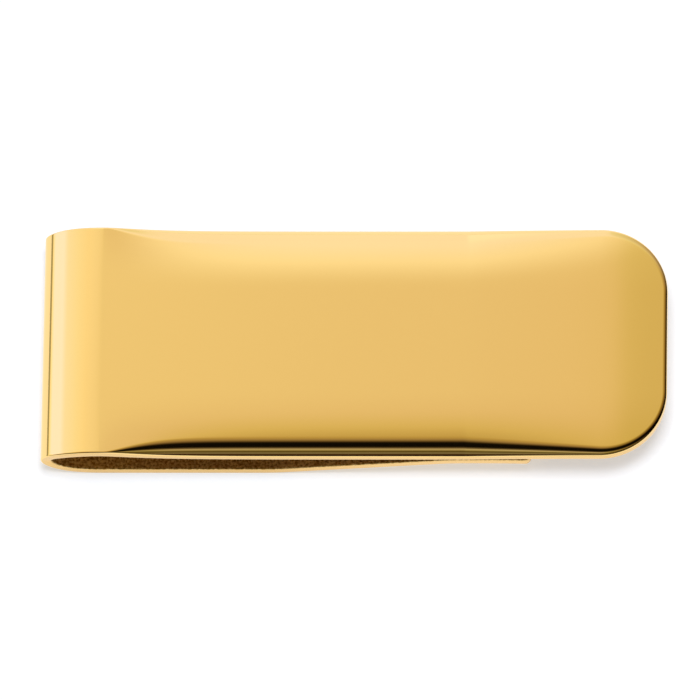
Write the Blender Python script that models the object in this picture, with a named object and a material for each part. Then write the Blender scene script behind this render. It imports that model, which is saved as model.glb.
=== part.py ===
"""Money clip: one strip of spring metal folded back on itself into a flat U.

+X runs along the strip from the folded nose to the free end, +Y across it and +Z up, with the
clip lying on its back leg. The origin is under the middle of the clip, on the plane it lies on.
The strip is cut into its working zones: the domed front, the two halves of the fold, the flat
run of the back leg, its ramp and its gripping tongue. The fold and the ramp are where it flexes.
"""

import math

import bmesh
import bpy
from mathutils import Vector

# Driving dimensions, in metres.
LENGTH = 0.0500  # nose to free end
WIDTH = 0.0192
HEIGHT = 0.0048  # over the flat of both legs
THICKNESS = 0.0009  # of the strip
GAP = 0.0003  # between neighbouring zones, and between tongue and front at rest

BEND_LENGTH = 0.0048  # nose to where both legs run straight
NOSE_TAPER = 0.00017  # the strip is this much narrower on each side at the nose

CORNER_RADIUS = 0.0054  # the front's free corners
CROWN = 0.00033  # fall of the front from its flat middle to its outline
ROLL_WIDTH = 0.00135  # band along the front's edges that is rolled down
ROLL_DROP = 0.00065  # of the top surface across that band
HOLLOW_SHARE = 0.6  # how much of the roll the underside follows
ROLL_RUN = 0.0035  # length over which the roll grows out of the fold
CROWN_HASTE = 0.35  # how quickly the crown grows, beside the roll
END_FALL = 0.00045  # of the front towards its free end
END_FALL_RUN = 0.0160
END_TIGHTENING = 0.75  # how much narrower the roll is at the free end
END_EASING = 0.25  # how much shallower it is there
END_FLATTENING = 0.8  # how much less crown there is at the free end

KINK_X = 0.0168  # from the nose, where the back leg starts to ramp up
RAMP_END_X = 0.0346
RAMP_EASE = 0.0017  # half the length of the bend at each end of the ramp
TONGUE_END_X = 0.0392
TONGUE_CORNER = 0.0005
TIP_FALL = 0.00014  # the tongue's end eases down again
TIP_START_X = 0.0355

BEND_STEPS = 14
CORNER_STEPS = 9
RAMP_STEPS = 14

BOTTOM_OF_FRONT = HEIGHT - THICKNESS
HOLLOW_DROP = CROWN + ROLL_DROP * HOLLOW_SHARE
TONGUE_LIFT = BOTTOM_OF_FRONT - HOLLOW_DROP - GAP - THICKNESS
ROLL_RADIUS = (ROLL_WIDTH**2 + ROLL_DROP**2) / (2 * ROLL_DROP)
BEND_PIVOT = Vector((THICKNESS / 2 - LENGTH / 2, 0.0, HEIGHT / 2))
LEG_PIVOT = Vector((KINK_X - LENGTH / 2, 0.0, THICKNESS / 2))


def clear_scene():
    for old in list(bpy.data.objects):
        bpy.data.objects.remove(old, do_unlink=True)


def metal(name, colour, roughness):
    """A gold-plated metal finish."""
    material = bpy.data.materials.new(name)
    material.use_nodes = True
    shader = material.node_tree.nodes["Principled BSDF"]
    shader.inputs["Base Color"].default_value = (*colour, 1.0)
    shader.inputs["Metallic"].default_value = 1.0
    shader.inputs["Roughness"].default_value = roughness
    return material


def pivot_empty(name, place):
    """An empty on a flexing line, which carries the zones that move about it."""
    empty = bpy.data.objects.new(name, None)
    empty.location = place
    empty.empty_display_size = 0.005
    bpy.context.scene.collection.objects.link(empty)
    return empty


def loft(name, rings, material, parent=None):
    """A closed solid through equal rings of (distance from nose, y, z) points."""
    pivot = Vector(parent.location) if parent else Vector((0.0, 0.0, 0.0))
    shape = bmesh.new()
    rows = []
    for ring in rings:
        places = [Vector((x - LENGTH / 2, y, z)) - pivot for x, y, z in ring]
        rows.append([shape.verts.new(place) for place in places])
    count = len(rings[0])
    for first, second in zip(rows, rows[1:]):
        for i in range(count):
            after = (i + 1) % count
            shape.faces.new((first[i], first[after], second[after], second[i]))
    shape.faces.new(rows[0])
    shape.faces.new(reversed(rows[-1]))
    bmesh.ops.recalc_face_normals(shape, faces=shape.faces)
    mesh = bpy.data.meshes.new(name)
    shape.to_mesh(mesh)
    shape.free()
    mesh.shade_smooth()
    mesh.set_sharp_from_angle(angle=math.radians(35))
    mesh.materials.append(material)
    solid = bpy.data.objects.new(name, mesh)
    solid.parent = parent
    bpy.context.scene.collection.objects.link(solid)
    return solid


def half_width(x):
    """Half the strip's width at a distance from the nose, narrower in the fold."""
    into_fold = max(0.0, 1 - x / BEND_LENGTH)
    return WIDTH / 2 - NOSE_TAPER * into_fold**2


def corner_reach(along, radius):
    """How far a round corner stands out sideways, at a distance along into the corner."""
    return math.sqrt(max(0.0, radius**2 - max(0.0, along) ** 2))


def front_half_width(x):
    into_corner = x - (LENGTH - CORNER_RADIUS)
    return WIDTH / 2 - CORNER_RADIUS + corner_reach(into_corner, CORNER_RADIUS)


def from_flat(x, y):
    """Distance from a point of the front to its flat middle, a corner radius in all round."""
    along = max(0.0, x - (LENGTH - CORNER_RADIUS))
    across = max(0.0, abs(y) - (WIDTH / 2 - CORNER_RADIUS))
    return math.hypot(along, across)


def grown(x, haste=1.0):
    """How much of a forming has grown, from 0 at the fold to 1 along the front."""
    return 1 - math.exp(-haste * (max(0.0, x - BEND_LENGTH) / ROLL_RUN) ** 1.5)


def end_share(x):
    """From 0 where the front starts to fall to 1 at its free end."""
    return max(0.0, x - (LENGTH - END_FALL_RUN)) / END_FALL_RUN


def front_drop(x, y, roll_share):
    """How far the front is below its flat middle: its crown, its fall and its rolled edge."""
    outward = from_flat(x, y)
    share = end_share(x)
    size = max(grown(x), 1e-3) * (1 - END_TIGHTENING * share)
    into_roll = max(0.0, ROLL_WIDTH - (CORNER_RADIUS - outward) / size)
    roll = size * (ROLL_RADIUS - math.sqrt(ROLL_RADIUS**2 - into_roll**2))
    roll *= 1 - END_EASING * share**4
    crown = CROWN * grown(x, CROWN_HASTE) * (outward / CORNER_RADIUS) ** 2.5
    crown *= 1 - END_FLATTENING * share
    return crown + END_FALL * share**2 + roll * roll_share


def front_rows():
    """Distances from the nose of the front's cross-sections, closer where it curves more."""
    rows = [BEND_LENGTH + GAP + step * 0.0008 for step in range(6)]
    rows += [0.0105, 0.0125, 0.0150, 0.0190, 0.0340, 0.0380, 0.0415]
    start = LENGTH - CORNER_RADIUS
    for step in range(CORNER_STEPS + 1):
        rows.append(start + CORNER_RADIUS * math.sin(math.pi / 2 * step / CORNER_STEPS))
    rows += [LENGTH - inward for inward in (0.0004, 0.0002)]
    return sorted(rows)


def front_ring(x):
    """The front's cross-section: its domed top one way, then its hollow underside back."""
    edge = front_half_width(x)
    insets = [ROLL_WIDTH * share for share in (0.0, 0.12, 0.3, 0.5, 0.75, 1.0)]
    insets += [edge - (edge - ROLL_WIDTH) * share for share in (0.85, 0.7, 0.5)]
    left = [inset - edge for inset in insets]
    across = left + [0.0] + [-y for y in reversed(left)]
    top = [(x, y, HEIGHT - front_drop(x, y, 1.0)) for y in across]
    back = reversed(across)
    under = [(x, y, BOTTOM_OF_FRONT - front_drop(x, y, HOLLOW_SHARE)) for y in back]
    return top + under


def flat_ring(x, edge, bottom):
    return [
        (x, -edge, bottom),
        (x, edge, bottom),
        (x, edge, bottom + THICKNESS),
        (x, -edge, bottom + THICKNESS),
    ]


def bend_ring(share, side):
    """A section through half of the fold, from its straight end (0) to the nose (1)."""
    half_gap = GAP / 2
    points = []
    for inset, order in ((0.0, -1), (THICKNESS, 1)):
        long_axis = BEND_LENGTH - inset
        short_axis = HEIGHT / 2 - inset
        angle = share * math.acos(half_gap / short_axis)
        x = BEND_LENGTH - long_axis * math.sin(angle)
        z = HEIGHT / 2 + side * short_axis * math.cos(angle)
        edge = half_width(x - inset)
        points += [(x, order * edge, z), (x, -order * edge, z)]
    return points


def eased(distance):
    """0 before a bend and the distance after it, with an easy curve between."""
    into = min(2 * RAMP_EASE, max(0.0, distance + RAMP_EASE))
    return into**2 / (4 * RAMP_EASE) + max(0.0, distance - RAMP_EASE)


def leg_bottom(x):
    """Height of the back leg's lower side: flat, a straight ramp, and the tongue."""
    start = KINK_X + RAMP_EASE
    end = RAMP_END_X - RAMP_EASE
    slope = TONGUE_LIFT / (end - start)
    tip = max(0.0, x - TIP_START_X) / (TONGUE_END_X - TIP_START_X)
    return slope * (eased(x - start) - eased(x - end)) - TIP_FALL * tip**2


def ramp_rings():
    start = KINK_X + GAP / 2
    end = RAMP_END_X - GAP / 2
    steps = [start + (end - start) * step / RAMP_STEPS for step in range(RAMP_STEPS + 1)]
    return [flat_ring(x, WIDTH / 2, leg_bottom(x)) for x in steps]


def tongue_rings():
    rounded = [0.0, 0.4, 0.7, 0.9, 1.0]
    steps = [RAMP_END_X + GAP / 2, 0.0362, 0.0373]
    steps += [TONGUE_END_X - TONGUE_CORNER * (1 - share) for share in rounded]
    rings = []
    for x in steps:
        into_corner = x - (TONGUE_END_X - TONGUE_CORNER)
        edge = WIDTH / 2 - TONGUE_CORNER + corner_reach(into_corner, TONGUE_CORNER)
        rings.append(flat_ring(x, edge, leg_bottom(x)))
    return rings


def build():
    clear_scene()
    gold = metal("polished gold plate", (0.81, 0.54, 0.15), 0.12)
    inside = metal("unpolished gold plate", (0.60, 0.36, 0.10), 0.45)
    bend_axis = pivot_empty("bend_axis", BEND_PIVOT)
    leg_axis = pivot_empty("leg_axis", LEG_PIVOT)
    bend_shares = [step / BEND_STEPS for step in range(BEND_STEPS + 1)]

    loft("front_plate", [front_ring(x) for x in front_rows()], gold, bend_axis)
    loft("upper_bend", [bend_ring(share, 1) for share in bend_shares], gold, bend_axis)
    loft("lower_bend", [bend_ring(share, -1) for share in bend_shares], gold)
    back_run = (BEND_LENGTH + GAP, KINK_X - GAP / 2)
    loft("back_run", [flat_ring(x, WIDTH / 2, 0.0) for x in back_run], gold)
    loft("leg_ramp", ramp_rings(), gold, leg_axis)
    loft("grip_tongue", tongue_rings(), inside, leg_axis)


build()
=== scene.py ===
"""The looks of a gold-plated money clip: one polished strip folded back on itself.

The strip is drawn in three zones that meet flush: the domed front, the fold at the nose and the
back leg with its ramp and tongue. Geometry Nodes make all three from one rule. X runs from the
nose to the free end, Y across the strip and Z up.
"""

import math

import bmesh
import bpy
from mathutils import Matrix, Vector


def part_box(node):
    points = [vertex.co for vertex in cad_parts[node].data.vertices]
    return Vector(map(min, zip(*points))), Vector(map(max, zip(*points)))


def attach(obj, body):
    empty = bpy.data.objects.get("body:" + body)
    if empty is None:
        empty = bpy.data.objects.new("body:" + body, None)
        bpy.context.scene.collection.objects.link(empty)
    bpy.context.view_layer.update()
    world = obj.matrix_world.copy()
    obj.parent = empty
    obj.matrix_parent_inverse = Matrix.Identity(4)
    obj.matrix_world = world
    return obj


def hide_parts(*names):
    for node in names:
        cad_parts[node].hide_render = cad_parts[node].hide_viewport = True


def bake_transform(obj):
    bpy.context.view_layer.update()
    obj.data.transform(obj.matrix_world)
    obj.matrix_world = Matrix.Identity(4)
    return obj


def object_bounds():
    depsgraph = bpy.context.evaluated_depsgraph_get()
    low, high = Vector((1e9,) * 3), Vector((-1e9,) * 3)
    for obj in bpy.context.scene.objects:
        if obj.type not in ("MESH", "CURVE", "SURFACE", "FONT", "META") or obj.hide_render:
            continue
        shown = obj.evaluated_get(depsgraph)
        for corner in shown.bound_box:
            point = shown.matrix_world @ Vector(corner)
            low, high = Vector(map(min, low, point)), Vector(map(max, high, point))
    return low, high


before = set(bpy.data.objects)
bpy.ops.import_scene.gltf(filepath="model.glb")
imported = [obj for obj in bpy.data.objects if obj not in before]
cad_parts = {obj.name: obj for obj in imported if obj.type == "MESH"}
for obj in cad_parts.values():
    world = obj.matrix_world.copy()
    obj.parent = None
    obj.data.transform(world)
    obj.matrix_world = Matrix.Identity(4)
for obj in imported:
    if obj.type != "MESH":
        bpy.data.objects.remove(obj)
CAD_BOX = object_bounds()

MM = 0.001

# The strip, read off the frame.
LOW, HIGH = CAD_BOX
NOSE_X = LOW.x
FREE_END_X = HIGH.x
HALF_WIDTH = HIGH.y
HEIGHT = HIGH.z
RUN_LOW, RUN_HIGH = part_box("back_run")
THICKNESS = RUN_HIGH.z - RUN_LOW.z
BEND_END_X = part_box("upper_bend")[1].x
KINK_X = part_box("leg_ramp")[0].x
RAMP_END_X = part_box("leg_ramp")[1].x
TONGUE_END_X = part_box("grip_tongue")[1].x

# The front's dome: a flat middle, a crown that falls to the outline and a rolled-down edge.
CORNER_RADIUS = 5.4 * MM
CROWN = 0.33 * MM
CROWN_POWER = 2.5  # the higher, the nearer the crown keeps to the edge
ROLL_WIDTH = 1.35 * MM
ROLL_DROP = 0.65 * MM
ROLL_RADIUS = (ROLL_WIDTH**2 + ROLL_DROP**2) / (2 * ROLL_DROP)
HOLLOW_SHARE = 0.6  # how much of the roll the underside follows
LEAST_ROLL = 0.001  # share of its size that a roll keeps, so that it can be divided by

# How the dome grows out of the fold.
ROLL_RUN = 3.5 * MM
GROWTH_POWER = 1.5  # the higher, the softer the start
CROWN_HASTE = 0.35  # how quickly the crown grows, beside the roll

# What becomes of the dome at the free end.
END_FALL = 0.45 * MM
END_FALL_RUN = 16 * MM
END_TIGHTENING = 0.75  # how much narrower the roll is
END_EASING = 0.25  # how much shallower the roll is
END_FLATTENING = 0.8  # how much less crown there is

# The cut edge, and the fold's taper towards the nose on each side.
EDGE_ROUND = 0.10 * MM
FRONT_EDGE_GROWTH = -0.5  # the front's edge is this much sharper than the fold's
NOSE_TAPER = 0.17 * MM
TAPER_POWER = 4.0  # the higher, the nearer the taper keeps to the nose

# The back leg's ramp and tongue.
RAMP_EASE = 1.7 * MM  # half the length of the bend at each end of the ramp
TONGUE_CORNER = 0.5 * MM
TONGUE_GAP = 0.03 * MM  # from the tongue to the hollow of the front
TIP_FALL = 0.14 * MM
TIP_RUN = 3.7 * MM

MERGE_DISTANCE = 1e-4 * MM
SHARP_ANGLE = math.radians(40)


def add(tree, kind, inputs=None, **settings):
    """Adds a node with its settings, and links or sets its inputs by name or number."""
    node = tree.nodes.new(kind)
    for name, value in settings.items():
        setattr(node, name, value)
    for key, value in (inputs or {}).items():
        if isinstance(value, bpy.types.Node):
            value = value.outputs[0]
        if isinstance(value, bpy.types.NodeSocket):
            tree.links.new(value, node.inputs[key])
        else:
            node.inputs[key].default_value = value
    return node


def linear(code):
    """An sRGB hex colour as linear RGBA."""
    channels = [int(code[start : start + 2], 16) / 255 for start in (1, 3, 5)]
    light = [c / 12.92 if c <= 0.04045 else ((c + 0.055) / 1.055) ** 2.4 for c in channels]
    return (*light, 1.0)


def follow_rule(tree, rule, value):
    """Adds a rule's sums to a tree in their order, and keeps each result under its name."""
    for step, operation, *terms in rule:
        terms = {at: value.get(term, term) for at, term in enumerate(terms)}
        value[step] = add(tree, "ShaderNodeMath", terms, operation=operation).outputs[0]


# ---------------------------------------------------------------- the strip's rule


# The rule of a zone of strip, one sum a line: what it is called, the sum, and what goes in. The
# rule reads a zone's sizes, and a flat grid that is 1 long and 2 wide, about its middle.
# Travel is how far along the zone a point is, and y how far across. Outward is how far it is past
# the flat middle, and depth how far in it is from the cut edge.
STRIP_RULE = (
    ("left", "SUBTRACT", 0.5, "grid_x"),
    ("left_crowded", "POWER", "left", "Crowding"),
    ("run", "SUBTRACT", "End", "Start"),
    ("before_end", "MULTIPLY", "run", "left_crowded"),
    ("travel", "SUBTRACT", "End", "before_end"),
    ("side", "SIGN", "grid_y"),
    ("span", "ABSOLUTE", "grid_y"),
    ("inward", "SUBTRACT", 1.0, "span"),
    ("inward_squared", "MULTIPLY", "inward", "inward"),
    ("span_crowded", "SUBTRACT", 1.0, "inward_squared"),
    ("across_share", "MULTIPLY", "side", "span_crowded"),
    # the outline: straight sides and a free end with round corners
    ("core", "SUBTRACT", "Half Width", "Corner Radius"),
    ("corner_start", "SUBTRACT", "End", "Corner Radius"),
    ("past_corner", "SUBTRACT", "travel", "corner_start"),
    ("past_corner_or_0", "MAXIMUM", "past_corner", 0.0),
    ("along", "MULTIPLY", "past_corner_or_0", "Free End"),
    ("along_squared", "MULTIPLY", "along", "along"),
    ("radius_squared", "MULTIPLY", "Corner Radius", "Corner Radius"),
    ("reach_squared", "SUBTRACT", "radius_squared", "along_squared"),
    ("reach_or_0", "MAXIMUM", "reach_squared", 0.0),
    ("reach", "SQRT", "reach_or_0"),
    ("half", "ADD", "core", "reach"),
    ("y", "MULTIPLY", "half", "across_share"),
    ("y_size", "ABSOLUTE", "y"),
    ("past_core", "SUBTRACT", "y_size", "core"),
    ("across", "MAXIMUM", "past_core", 0.0),
    ("outward_squared", "MULTIPLY_ADD", "across", "across", "along_squared"),
    ("outward", "SQRT", "outward_squared"),
    ("depth_signed", "SUBTRACT", "Corner Radius", "outward"),
    ("depth", "MAXIMUM", "depth_signed", 0.0),
    # how much of the forming has grown, from none where the zone starts to all further along
    ("past_start", "SUBTRACT", "travel", "Start"),
    ("past_share", "DIVIDE", "past_start", "Roll Run"),
    ("past_powered", "POWER", "past_share", GROWTH_POWER),
    ("decay", "MULTIPLY", "past_powered", -1.0),
    ("not_grown", "EXPONENT", "decay"),
    ("grown", "SUBTRACT", 1.0, "not_grown"),
    ("crown_decay", "MULTIPLY", "decay", "Crown Haste"),
    ("crown_not_grown", "EXPONENT", "crown_decay"),
    ("crown_growth", "SUBTRACT", 1.0, "crown_not_grown"),
    # the cut edge, tumbled round
    ("growth", "MULTIPLY_ADD", "Edge Growth", "grown", 1.0),
    ("edge_round", "MULTIPLY", "Edge Round", "growth"),
    ("short", "SUBTRACT", "edge_round", "depth"),
    ("short_or_0", "MAXIMUM", "short", 0.0),
    ("short_squared", "MULTIPLY", "short_or_0", "short_or_0"),
    ("round_squared", "MULTIPLY", "edge_round", "edge_round"),
    ("chord_squared", "SUBTRACT", "round_squared", "short_squared"),
    ("chord_or_0", "MAXIMUM", "chord_squared", 0.0),
    ("chord", "SQRT", "chord_or_0"),
    ("rounding", "SUBTRACT", "edge_round", "chord"),
    # crown and roll, which tightens and eases towards the free end
    ("fall_start", "SUBTRACT", "End", "End Fall Run"),
    ("past_fall", "SUBTRACT", "travel", "fall_start"),
    ("past_fall_or_0", "MAXIMUM", "past_fall", 0.0),
    ("fall_share", "DIVIDE", "past_fall_or_0", "End Fall Run"),
    ("tightened", "MULTIPLY", "fall_share", "End Tightening"),
    ("tight", "SUBTRACT", 1.0, "tightened"),
    ("size", "MULTIPLY", "tight", "grown"),
    ("size_or_little", "MAXIMUM", "size", LEAST_ROLL),
    ("depth_sized", "DIVIDE", "depth", "size_or_little"),
    ("into_roll", "SUBTRACT", "Roll Width", "depth_sized"),
    ("into_roll_or_0", "MAXIMUM", "into_roll", 0.0),
    ("into_squared", "MULTIPLY", "into_roll_or_0", "into_roll_or_0"),
    ("roll_squared", "MULTIPLY", "Roll Radius", "Roll Radius"),
    ("level_squared", "SUBTRACT", "roll_squared", "into_squared"),
    ("level", "SQRT", "level_squared"),
    ("roll_unsized", "SUBTRACT", "Roll Radius", "level"),
    ("roll_full", "MULTIPLY", "roll_unsized", "size_or_little"),
    ("fall_squared", "MULTIPLY", "fall_share", "fall_share"),
    ("fall_powered", "MULTIPLY", "fall_squared", "fall_squared"),
    ("easing", "MULTIPLY", "fall_powered", "End Easing"),
    ("uneased", "SUBTRACT", 1.0, "easing"),
    ("roll", "MULTIPLY", "roll_full", "uneased"),
    ("outward_share", "DIVIDE", "outward", "Corner Radius"),
    ("outward_powered", "POWER", "outward_share", CROWN_POWER),
    ("crown_full", "MULTIPLY", "Crown", "outward_powered"),
    ("crown_grown", "MULTIPLY", "crown_full", "crown_growth"),
    ("flattened", "MULTIPLY", "fall_share", "End Flattening"),
    ("unflattened", "SUBTRACT", 1.0, "flattened"),
    ("crown", "MULTIPLY", "crown_grown", "unflattened"),
    ("drop", "MULTIPLY_ADD", "End Fall", "fall_squared", "crown"),
    # how far each sheet stands off the middle of the metal
    ("half_thick", "MULTIPLY", "Thickness", 0.5),
    ("rounded_half", "SUBTRACT", "half_thick", "rounding"),
    ("outer_fall", "ADD", "drop", "roll"),
    ("outer", "SUBTRACT", "rounded_half", "outer_fall"),
    ("inner_fall", "MULTIPLY_ADD", "roll", "Hollow Share", "drop"),
    ("inner_off", "ADD", "rounded_half", "inner_fall"),
    ("inner", "MULTIPLY", "inner_off", -1.0),
)

# Where the middle of the metal runs in each zone, and which way is out. The front runs level.
FRONT_SPINE = (
    ("spine_x", "ADD", "travel", 0.0),
    ("spine_z", "ADD", HEIGHT - THICKNESS / 2, 0.0),
    ("normal_x", "ADD", 0.0, 0.0),
    ("normal_z", "ADD", 1.0, 0.0),
    ("spine_y", "ADD", "y", 0.0),
)

# The fold is half an ellipse. Travel is the angle round it, from the back leg up to the front.
FOLD_LONG = BEND_END_X - NOSE_X - THICKNESS / 2
FOLD_SHORT = (HEIGHT - THICKNESS) / 2
FOLD_SPINE = (
    ("sine", "SINE", "travel"),
    ("cosine", "COSINE", "travel"),
    ("spine_x", "MULTIPLY_ADD", "sine", -FOLD_LONG, BEND_END_X),
    ("spine_z", "MULTIPLY_ADD", "cosine", -FOLD_SHORT, HEIGHT / 2),
    ("out_x", "MULTIPLY", "sine", -FOLD_SHORT),
    ("out_z", "MULTIPLY", "cosine", -FOLD_LONG),
    ("out_x_squared", "MULTIPLY", "out_x", "out_x"),
    ("out_squared", "MULTIPLY_ADD", "out_z", "out_z", "out_x_squared"),
    ("out_length", "SQRT", "out_squared"),
    ("normal_x", "DIVIDE", "out_x", "out_length"),
    ("normal_z", "DIVIDE", "out_z", "out_length"),
    ("nose_share", "POWER", "sine", TAPER_POWER),
    ("y_scale", "MULTIPLY_ADD", "nose_share", -NOSE_TAPER / HALF_WIDTH, 1.0),
    ("spine_y", "MULTIPLY", "y", "y_scale"),
)

# The back leg lies flat, rises up a straight ramp with a bend at each end, and runs level as
# the tongue, whose tip eases down again.
HOLLOW_DROP = CROWN + ROLL_DROP * HOLLOW_SHARE
TONGUE_LIFT = HEIGHT - 2 * THICKNESS - HOLLOW_DROP - TONGUE_GAP
RAMP_RUN = RAMP_END_X - KINK_X - 2 * RAMP_EASE
LEG_SPINE = (
    ("past_kink", "SUBTRACT", "travel", KINK_X + RAMP_EASE),
    ("ramp_any", "DIVIDE", "past_kink", RAMP_RUN),
    ("ramp_over_0", "SMOOTH_MAX", "ramp_any", 0.0, RAMP_EASE / RAMP_RUN),
    ("ramp", "SMOOTH_MIN", "ramp_over_0", 1.0, RAMP_EASE / RAMP_RUN),
    ("past_tip", "SUBTRACT", "travel", TONGUE_END_X - TIP_RUN),
    ("past_tip_or_0", "MAXIMUM", "past_tip", 0.0),
    ("tip_share", "DIVIDE", "past_tip_or_0", TIP_RUN),
    ("tip_squared", "MULTIPLY", "tip_share", "tip_share"),
    ("tip_height", "MULTIPLY_ADD", "tip_squared", -TIP_FALL, THICKNESS / 2),
    ("spine_x", "ADD", "travel", 0.0),
    ("spine_z", "MULTIPLY_ADD", "ramp", TONGUE_LIFT, "tip_height"),
    ("normal_x", "ADD", 0.0, 0.0),
    ("normal_z", "ADD", -1.0, 0.0),
    ("spine_y", "ADD", "y", 0.0),
)


# A zone of flat, square-ended strip. Crowding above 1 moves the rows towards the zone's end.
PLAIN_STRIP = {
    "Crowding": 1.0,
    "Half Width": HALF_WIDTH,
    "Thickness": THICKNESS,
    "Corner Radius": CORNER_RADIUS,
    "Free End": 0.0,
    "Edge Round": EDGE_ROUND,
    "Edge Growth": 0.0,
    "Crown": 0.0,
    "Crown Haste": CROWN_HASTE,
    "Roll Width": 0.0,
    "Roll Radius": ROLL_RADIUS,
    "Hollow Share": HOLLOW_SHARE,
    "Roll Run": ROLL_RUN,
    "End Fall": 0.0,
    "End Fall Run": END_FALL_RUN,
    "End Tightening": 0.0,
    "End Easing": 0.0,
    "End Flattening": 0.0,
}


def strip_tree(name, spine, finishes, sizes):
    """A closed zone of strip: outer and inner sheets over one outline, and the wall between."""
    tree = bpy.data.node_groups.new(name, "GeometryNodeTree")
    face = tree.interface
    face.new_socket("Geometry", in_out="INPUT", socket_type="NodeSocketGeometry")
    for title, size in sizes.items():
        kind = "NodeSocketInt" if isinstance(size, int) else "NodeSocketFloat"
        face.new_socket(title, in_out="INPUT", socket_type=kind)
    face.new_socket("Geometry", in_out="OUTPUT", socket_type="NodeSocketGeometry")
    source = add(tree, "NodeGroupInput")
    value = {title: source.outputs[title] for title in sizes}
    spacing = {"Size X": 1.0, "Size Y": 2.0}
    counts = {"Vertices X": value["Rows"], "Vertices Y": value["Columns"]}
    kept = add(tree, "GeometryNodeMeshGrid", spacing | counts)
    place = add(tree, "ShaderNodeSeparateXYZ", {0: add(tree, "GeometryNodeInputPosition")})
    value["grid_x"] = place.outputs["X"]
    value["grid_y"] = place.outputs["Y"]
    follow_rule(tree, STRIP_RULE + spine, value)

    middle = {axis: value["spine_" + axis.lower()] for axis in "XYZ"}
    middle = add(tree, "ShaderNodeCombineXYZ", middle)
    normal = {axis: value["normal_" + axis.lower()] for axis in "XZ"}
    normal = add(tree, "ShaderNodeCombineXYZ", normal)
    places = {}
    for sheet in ("outer", "inner"):
        off = {0: normal, "Scale": value[sheet]}
        off = add(tree, "ShaderNodeVectorMath", off, operation="SCALE")
        off = add(tree, "ShaderNodeVectorMath", {0: middle, 1: off}, operation="ADD")
        kept = {"Geometry": kept, "Name": sheet, "Value": off}
        kept = add(tree, "GeometryNodeStoreNamedAttribute", kept, data_type="FLOAT_VECTOR")
        stored = {"Name": sheet}
        stored = add(tree, "GeometryNodeInputNamedAttribute", stored, data_type="FLOAT_VECTOR")
        places[sheet] = stored

    faces = {"outer": kept, "inner": add(tree, "GeometryNodeFlipFaces", {"Mesh": kept})}
    for sheet in ("outer", "inner"):
        moved = {"Geometry": faces[sheet], "Position": places[sheet]}
        moved = add(tree, "GeometryNodeSetPosition", moved)
        plated = {"Geometry": moved, "Material": finishes[sheet]}
        faces[sheet] = add(tree, "GeometryNodeSetMaterial", plated)

    # The wall rises from the inner sheet's rim to the outer sheet's.
    neighbours = {"A": add(tree, "GeometryNodeInputMeshEdgeNeighbors"), "B": 1}
    rim = add(tree, "FunctionNodeCompare", neighbours, data_type="INT", operation="EQUAL")
    wall = {"Mesh": faces["inner"], "Selection": rim, "Offset Scale": 0.0}
    wall = add(tree, "GeometryNodeExtrudeMesh", wall, mode="EDGES")
    top, side = wall.outputs["Top"], wall.outputs["Side"]
    raised = {"Geometry": wall, "Selection": top, "Position": places["outer"]}
    raised = add(tree, "GeometryNodeSetPosition", raised)
    cut = {"Geometry": raised, "Selection": side, "Material": finishes["edge"]}
    cut = add(tree, "GeometryNodeSetMaterial", cut)
    joined = add(tree, "GeometryNodeJoinGeometry", {0: faces["outer"]})
    tree.links.new(cut.outputs[0], joined.inputs[0])
    whole = {"Geometry": joined, "Distance": MERGE_DISTANCE}
    whole = add(tree, "GeometryNodeMergeByDistance", whole)
    real = add(tree, "GeometryNodeRealizeInstances", {"Geometry": whole})
    add(tree, "NodeGroupOutput", {0: real})
    return tree


def strip_piece(name, spine, finishes, sizes):
    """Runs the strip's rule with a zone's sizes and keeps the result as a plain mesh."""
    holder = bpy.data.objects.new(name + "_rule", bpy.data.meshes.new(name + "_rule"))
    bpy.context.scene.collection.objects.link(holder)
    modifier = holder.modifiers.new("rule", "NODES")
    modifier.node_group = strip_tree(name, spine, finishes, sizes)
    for item in modifier.node_group.interface.items_tree:
        if item.in_out == "INPUT" and item.name in sizes:
            modifier[item.identifier] = sizes[item.name]
    bpy.context.view_layer.update()
    graph = bpy.context.evaluated_depsgraph_get()
    mesh = bpy.data.meshes.new_from_object(holder.evaluated_get(graph))
    mesh.name = name
    bpy.data.objects.remove(holder)
    for sheet in ("outer", "inner"):
        mesh.attributes.remove(mesh.attributes[sheet])
    shape = bmesh.new()
    shape.from_mesh(mesh)
    bmesh.ops.recalc_face_normals(shape, faces=shape.faces)
    shape.to_mesh(mesh)
    shape.free()
    mesh.shade_smooth()
    mesh.set_sharp_from_angle(angle=SHARP_ANGLE)
    piece = bpy.data.objects.new(name, mesh)
    bpy.context.scene.collection.objects.link(piece)
    return piece


def make_front(finishes):
    """The domed front, from the fold to the round corners of its free end."""
    sizes = PLAIN_STRIP | {
        "Start": BEND_END_X,
        "End": FREE_END_X,
        "Crowding": 1.7,
        "Free End": 1.0,
        "Edge Growth": FRONT_EDGE_GROWTH,
        "Crown": CROWN,
        "Roll Width": ROLL_WIDTH,
        "End Fall": END_FALL,
        "End Tightening": END_TIGHTENING,
        "End Easing": END_EASING,
        "End Flattening": END_FLATTENING,
        "Rows": 300,
        "Columns": 129,
    }
    piece = strip_piece("domed_front", FRONT_SPINE, finishes, sizes)
    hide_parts("front_plate")
    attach(piece, "front")


def make_fold(finishes):
    """The fold at the nose, half an ellipse between the legs."""
    sizes = PLAIN_STRIP | {"Start": 0.0, "End": math.pi, "Rows": 181, "Columns": 97}
    piece = strip_piece("nose_fold", FOLD_SPINE, finishes, sizes)
    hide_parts("upper_bend", "lower_bend")
    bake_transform(piece)


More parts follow.
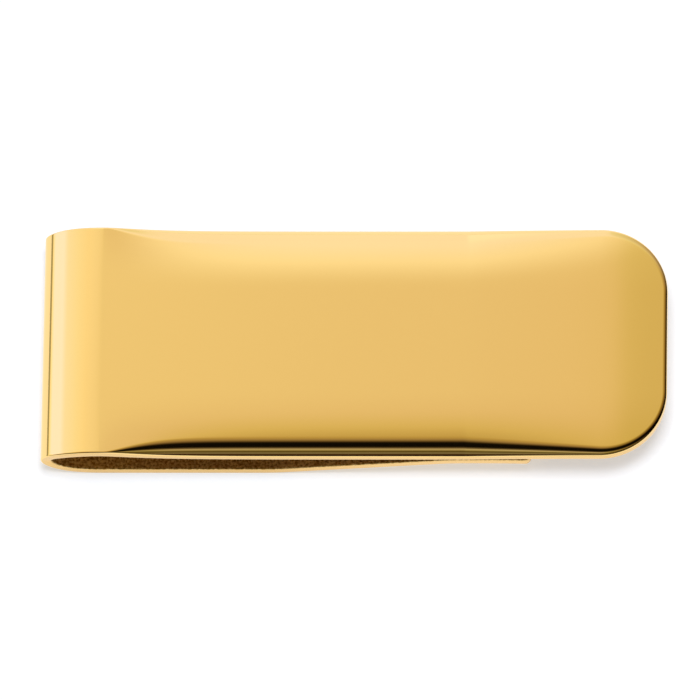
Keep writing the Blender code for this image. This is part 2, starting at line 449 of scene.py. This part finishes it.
def make_leg(finishes):
    """The back leg: its flat run, its ramp and the tongue that grips."""
    sizes = PLAIN_STRIP | {
        "Start": BEND_END_X,
        "End": TONGUE_END_X,
        "Crowding": 1.25,
        "Free End": 1.0,
        "Corner Radius": TONGUE_CORNER,
        "Rows": 240,
        "Columns": 97,
    }
    piece = strip_piece("back_leg_strip", LEG_SPINE, finishes, sizes)
    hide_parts("back_run", "leg_ramp", "grip_tongue")
    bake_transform(piece)


# ---------------------------------------------------------------- finishes


def finish(name, colour, roughness, spread, grain, depth, speckle=None):
    """A plated metal whose roughness and surface vary with a grain, and its colour if speckled."""
    material = bpy.data.materials.new(name)
    material.use_nodes = True
    tree = material.node_tree
    shader = tree.nodes["Principled BSDF"]
    shader.inputs["Metallic"].default_value = 1.0
    shader.inputs["Base Color"].default_value = linear(colour)
    where = add(tree, "ShaderNodeTexCoord").outputs["Object"]
    noise = {"Vector": where, "Scale": 1 / grain, "Detail": 3.0, "Roughness": 0.55}
    noise = add(tree, "ShaderNodeTexNoise", noise)
    rough = {"Value": noise, "To Min": roughness - spread, "To Max": roughness + spread}
    rough = add(tree, "ShaderNodeMapRange", rough)
    tree.links.new(rough.outputs[0], shader.inputs["Roughness"])
    bump = add(tree, "ShaderNodeBump", {"Height": noise, "Strength": 1.0, "Distance": depth})
    tree.links.new(bump.outputs[0], shader.inputs["Normal"])
    if speckle:
        tone = {"Value": noise, "From Min": 0.35, "From Max": 0.65}
        tone = add(tree, "ShaderNodeMapRange", tone)
        tint = {0: tone, 6: linear(speckle), 7: linear(colour)}
        tint = add(tree, "ShaderNodeMix", tint, data_type="RGBA")
        tree.links.new(tint.outputs[2], shader.inputs["Base Color"])
    return material


def make_finishes():
    """The strip's three finishes, all of gold plate on brass."""
    return {
        # Buffed, then plated: a mirror with a faint haze, wide enough to see in patches.
        "outer": finish(
            "polished gold-plated brass",
            "#ffd98c",
            roughness=0.06,
            spread=0.02,
            grain=1.2 * MM,
            depth=0.00002 * MM,
        ),
        # Plated over the strip as it was rolled: dull, sandy and speckled. The real grain is too
        # fine to show, so it is drawn coarser.
        "inner": finish(
            "as-rolled gold-plated brass",
            "#ffdf9a",
            roughness=0.50,
            spread=0.15,
            grain=0.22 * MM,
            depth=0.014 * MM,
            speckle="#b98a3e",
        ),
        # Sheared, tumbled and plated: softer and browner than the face.
        "edge": finish(
            "tumbled gold-plated edge",
            "#edc272",
            roughness=0.22,
            spread=0.05,
            grain=0.25 * MM,
            depth=0.0005 * MM,
        ),
    }


# ---------------------------------------------------------------- studio


TENT_LIGHT = 1.25  # what mirror faces see
FILL_LIGHT = 0.3  # what dull faces are lit by
BACKDROP_LIGHT = 1.0

# The tent in degrees from overhead, from behind the clip (-90) to its front (90): bright cloth,
# a dark gap, narrow strips of cloth below the gap, and then the dim edge of the table.
TENT_FRONT = (
    (-30, "#e7eafe"),
    (-25, "#e7e6e2"),
    (-20.6, "#d4ccb9"),
    (-16, "#cfc4af"),
    (-12, "#c4b98e"),
    (-8, "#a99967"),
    (2, "#8a7a5c"),
    (9, "#5d5039"),
    (14, "#2a2216"),
    (19, "#0c0a07"),
    (36, "#0c0a07"),
    (43, "#5a5140"),
    (48, "#a6a29a"),
    (53, "#8d8a70"),
    (58, "#544d2c"),
    (63, "#4c4526"),
    (67, "#7c7a72"),
    (73, "#433a28"),
    (78, "#2c1c10"),
    (88, "#2c1c10"),
)

# What becomes of that light from the nose's side (-90 degrees) to the free end's side (90).
TENT_SIDES = (
    (-68, (1.1, 1.05, 0.70)),
    (-63, (1.12, 1.13, 1.42)),
    (-46, (1.12, 1.13, 1.40)),
    (-39, (1.0, 1.02, 0.96)),
    (-26, (1.0, 0.98, 0.77)),
    (-16, (1.0, 0.96, 0.83)),
    (-6.8, (1.09, 1.11, 1.10)),
    (-3.9, (1.08, 1.11, 1.10)),
    (-3.2, (1.055, 1.085, 1.07)),
    (-2.5, (1.0, 1.0, 1.0)),
    (1.5, (1.0, 0.99, 0.97)),
    (3.5, (0.97, 0.96, 0.87)),
    (5.0, (0.88, 0.88, 0.66)),
    (9, (0.80, 0.79, 0.55)),
    (15, (0.72, 0.68, 0.45)),
    (28, (0.50, 0.42, 0.28)),
    (42, (0.25, 0.20, 0.14)),
    (52, (0.02, 0.015, 0.01)),
)

# The tent is turned, so that its dark front faces a little towards the free end.
TENT_TURN = math.radians(20)
TENT_RULE = (
    ("to_front", "MULTIPLY", "y", -math.cos(TENT_TURN)),
    ("to_dark", "MULTIPLY_ADD", "x", math.sin(TENT_TURN), "to_front"),
    ("tip", "ARCTAN2", "to_dark", "z"),
    ("tip_share", "MULTIPLY_ADD", "tip", 1 / math.pi, 0.5),
    ("turn", "ARCSINE", "x"),
    ("turn_share", "MULTIPLY_ADD", "turn", 1 / math.pi, 0.5),
)

# The cloth's hem, just above the table, as a share of the way up (1 is overhead).
HEM_BOTTOM = 0.10
HEM_TOP = 0.16
HEM_LIGHT = 0.35  # what is left of the light below the hem

# Behind the clip the cloth sweeps down onto the table, as a share of the way back.
SWEEP_START = 0.45
SWEEP_END = 0.75


def fill_ramp(ramp, stops):
    """Gives a colour ramp its stops, each an angle from -90 to 90 degrees and a colour."""
    places = [0.5 + angle / 180 for angle, colour in stops]
    points = ramp.color_ramp.elements
    points.remove(points[1])
    points[0].position = places[0]
    for place in places[1:]:
        points.new(place)
    for point, (angle, colour) in zip(points, stops):
        point.color = colour


def make_world():
    """A tent of soft cloth round the clip for its mirror faces, and plain white elsewhere."""
    world = bpy.data.worlds.new("studio")
    bpy.context.scene.world = world
    world.use_nodes = True
    tree = world.node_tree
    way = add(tree, "ShaderNodeSeparateXYZ", {0: add(tree, "ShaderNodeTexCoord").outputs[0]})
    value = {axis.lower(): way.outputs[axis] for axis in "XYZ"}
    follow_rule(tree, TENT_RULE, value)
    front = add(tree, "ShaderNodeValToRGB", {0: value["tip_share"]})
    fill_ramp(front, [(angle, linear(colour)) for angle, colour in TENT_FRONT])
    sides = add(tree, "ShaderNodeValToRGB", {0: value["turn_share"]})
    fill_ramp(sides, [(angle, (*light, 1.0)) for angle, light in TENT_SIDES])
    tent = add(tree, "ShaderNodeVectorMath", {0: front, 1: sides}, operation="MULTIPLY")
    smooth = {"interpolation_type": "SMOOTHSTEP"}
    hem = {"Value": value["z"], "From Min": HEM_BOTTOM, "From Max": HEM_TOP, "To Min": HEM_LIGHT}
    hem = add(tree, "ShaderNodeMapRange", hem, **smooth)
    sweep = {"Value": value["y"], "From Min": SWEEP_START, "From Max": SWEEP_END}
    sweep = add(tree, "ShaderNodeMapRange", sweep, **smooth)
    above = add(tree, "ShaderNodeMath", {0: hem, 1: sweep}, operation="MAXIMUM")
    tent = add(tree, "ShaderNodeVectorMath", {0: tent, "Scale": above}, operation="SCALE")

    rays = add(tree, "ShaderNodeLightPath")
    white = linear("#ffffff")
    mirror = add(tree, "ShaderNodeBackground", {"Color": tent, "Strength": TENT_LIGHT})
    plain = add(tree, "ShaderNodeBackground", {"Color": white, "Strength": FILL_LIGHT})
    shown = add(tree, "ShaderNodeBackground", {"Color": white, "Strength": BACKDROP_LIGHT})
    lit = add(tree, "ShaderNodeMixShader", {0: rays.outputs["Is Glossy Ray"], 1: plain, 2: mirror})
    seen = add(tree, "ShaderNodeMixShader", {0: rays.outputs["Is Camera Ray"], 1: lit, 2: shown})
    tree.links.new(seen.outputs[0], tree.nodes["World Output"].inputs["Surface"])


FLOOR_HALF = 1.5
FLOOR_DROP = 0.02 * MM  # keeps the floor just clear of the back leg


def make_floor():
    """A table lit from within, which keeps the shadow soft and pale."""
    floor_mesh = bpy.data.meshes.new("floor")
    signs = ((-1, -1), (1, -1), (1, 1), (-1, 1))
    corners = [(x * FLOOR_HALF, y * FLOOR_HALF, 0) for x, y in signs]
    floor_mesh.from_pydata(corners, [], [(0, 1, 2, 3)])
    floor = bpy.data.objects.new("floor", floor_mesh)
    floor.location.z = -FLOOR_DROP
    bpy.context.scene.collection.objects.link(floor)
    opal = bpy.data.materials.new("lit opal acrylic table")
    opal.use_nodes = True
    shader = opal.node_tree.nodes["Principled BSDF"]
    shader.inputs["Base Color"].default_value = linear("#c8ccd4")
    shader.inputs["Roughness"].default_value = 0.9
    shader.inputs["Specular IOR Level"].default_value = 0.0
    shader.inputs["Emission Color"].default_value = linear("#ffffff")
    shader.inputs["Emission Strength"].default_value = 0.44
    floor_mesh.materials.append(opal)


# The softbox hangs nearly overhead and faces the clip. Its side is in metres.
LAMP_SIDE = 0.26
LAMP_POWER = 3.7
LAMP_PLACE = Vector((0.02, -0.01, 0.7))


def make_lights():
    """One softbox. Mirror faces see the tent in its place."""
    light = bpy.data.lights.new("overhead softbox", "AREA")
    light.shape = "SQUARE"
    light.size = LAMP_SIDE
    light.energy = LAMP_POWER
    lamp = bpy.data.objects.new("overhead softbox", light)
    lamp.location = LAMP_PLACE
    lamp.rotation_euler = (-LAMP_PLACE).to_track_quat("-Z", "Y").to_euler()
    lamp.visible_glossy = False
    bpy.context.scene.collection.objects.link(lamp)


# The camera looks down a long lens from the front and a little from the free end's side. Its
# angles are in degrees. Elevation is above the table, and azimuth is from straight in front.
CAMERA_ELEVATION = 69.75
CAMERA_AZIMUTH = 7.2
CAMERA_ROLL = -6.76
CAMERA_DISTANCE = 1.18
CAMERA_LENS_MM = 759.0
CAMERA_ASIDE = -0.41 * MM


def make_camera():
    """Aims the camera at the middle of the clip, a little to one side."""
    data = bpy.data.cameras.new("camera")
    data.lens = CAMERA_LENS_MM
    data.sensor_width = 36.0
    data.clip_start = 0.01
    data.clip_end = 10.0
    camera = bpy.data.objects.new("camera", data)
    azimuth = math.radians(CAMERA_AZIMUTH)
    elevation = math.radians(CAMERA_ELEVATION)
    level = Vector((math.sin(azimuth), -math.cos(azimuth), 0.0))
    back = level * math.cos(elevation) + Vector((0.0, 0.0, math.sin(elevation)))
    roll = Matrix.Rotation(math.radians(CAMERA_ROLL), 4, "Z")
    turn = (-back).to_track_quat("-Z", "Y").to_matrix().to_4x4() @ roll
    target = (LOW + HIGH) / 2 + turn.to_3x3().col[0] * CAMERA_ASIDE
    camera.matrix_world = Matrix.Translation(target + back * CAMERA_DISTANCE) @ turn
    bpy.context.scene.collection.objects.link(camera)
    bpy.context.scene.camera = camera


def main():
    make_camera()
    make_world()
    make_lights()
    make_floor()
    finishes = make_finishes()
    make_front(finishes)
    make_fold(finishes)
    make_leg(finishes)
    bpy.context.scene.view_settings.view_transform = "Standard"


main()
